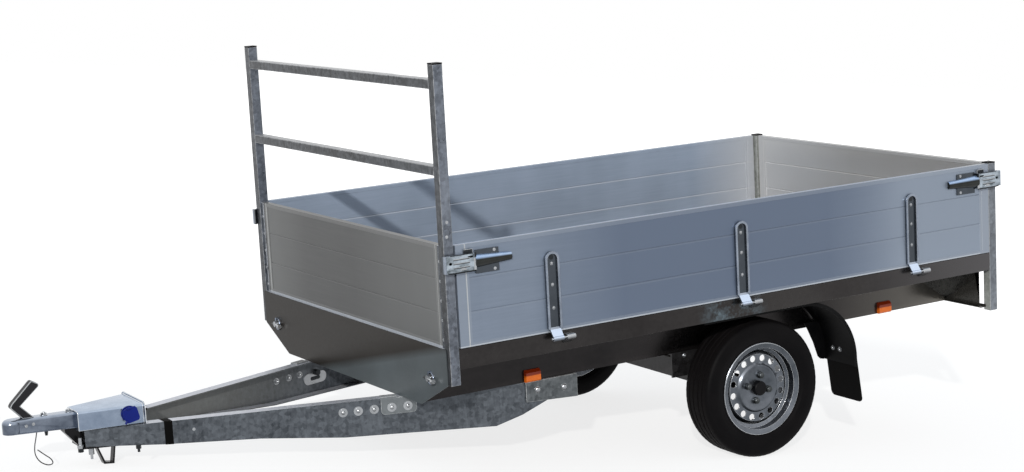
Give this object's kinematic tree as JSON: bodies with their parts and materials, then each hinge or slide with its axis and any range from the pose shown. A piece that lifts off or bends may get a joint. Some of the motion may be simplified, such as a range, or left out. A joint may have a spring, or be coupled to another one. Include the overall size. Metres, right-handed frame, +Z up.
{
  "type": "utility trailer",
  "caption": "Single-axle utility trailer with a flat drop-side bed, ladder rack at the front, V drawbar with ball coupling and mudguards, parked on its front foot.",
  "frame": {"origin": "on the ground under the middle of the trailer, halfway along its length and between its sides", "axes": "+X forward to the coupling, +Y to the left, +Z up"},
  "size_m": [3.9413, 1.648, 1.4968],
  "materials": {
    "floor": "dark resin-faced plywood",
    "galvanised": "hot-dip galvanised, dull grey",
    "zinc": "bright zinc plate",
    "black_paint": "black paint",
    "blue_plastic": "moulded blue plastic",
    "black_plastic": "moulded black plastic",
    "black_rubber": "plain black rubber",
    "amber_lens": "amber lens",
    "lamp_lens": "red and amber lens",
    "board_aluminium": "extruded, natural finish",
    "tyre_rubber": "road tyre rubber",
    "rim_silver": "silver paint",
    "black_iron": "painted black",
    "cable_steel": "stranded wire"
  },
  "bodies": {
    "chassis": {"floor_panel": "floor", "side_rail_left": "galvanised", "side_rail_right": "galvanised", "end_rails": "galvanised", "chassis_member_left": "galvanised", "chassis_member_right": "galvanised", "rear_crossmember": "galvanised", "floor_bearers": "galvanised", "front_sheet": "galvanised", "drawbar_beam_left": "galvanised", "drawbar_beam_right": "galvanised", "drawbar_brackets": "galvanised", "coupling_box": "zinc", "coupling_body": "zinc", "coupling_handle": "black_paint", "plug_cap": "blue_plastic", "foot_strap": "black_paint", "axle_beam": "galvanised", "axle_arms": "galvanised", "mudguards": "black_plastic", "mud_flaps": "black_rubber", "side_markers": "amber_lens", "rack_posts": "galvanised", "rack_rails": "galvanised", "rear_posts": "galvanised", "post_caps": "black_plastic", "front_board": "board_aluminium", "board_channels": "galvanised", "hinge_lugs": "galvanised", "lock_pins": "zinc", "rear_lamps": "lamp_lens", "plate_holder": "black_plastic", "safety_cable": "cable_steel"},
    "wheel_left": {"tyre_left": "tyre_rubber", "wheel_rim_left": "rim_silver", "wheel_hub_left": "black_iron"},
    "wheel_right": {"tyre_right": "tyre_rubber", "wheel_rim_right": "rim_silver", "wheel_hub_right": "black_iron"},
    "side_left": {"side_board_left": "board_aluminium", "side_fittings_left": "zinc"},
    "side_right": {"side_board_right": "board_aluminium", "side_fittings_right": "zinc"},
    "tailgate": {"tailgate": "board_aluminium", "tailgate_fittings": "zinc"}
  },
  "joints": [
    {"name": "wheel_left_turn", "type": "hinge", "parent": "chassis", "child": "wheel_left", "pos_m": [-0.80377, 0.662, 0.271], "axis": [0, 1, 0], "continuous": true},
    {"name": "wheel_right_turn", "type": "hinge", "parent": "chassis", "child": "wheel_right", "pos_m": [-0.80377, -0.662, 0.271], "axis": [0, 1, 0], "continuous": true},
    {"name": "side_left_drop", "type": "hinge", "parent": "chassis", "child": "side_left", "pos_m": [-0.76077, 0.815, 0.63749], "axis": [-0.9932, 0, 0.1165], "range_deg": [0, 180]},
    {"name": "side_right_drop", "type": "hinge", "parent": "chassis", "child": "side_right", "pos_m": [-0.76077, -0.815, 0.63749], "axis": [0.9932, 0, -0.1165], "range_deg": [0, 180]},
    {"name": "tailgate_drop", "type": "hinge", "parent": "chassis", "child": "tailgate", "pos_m": [-1.95359, 0, 0.77742], "axis": [0, -1, 0], "range_deg": [0, 180]}
  ]
}
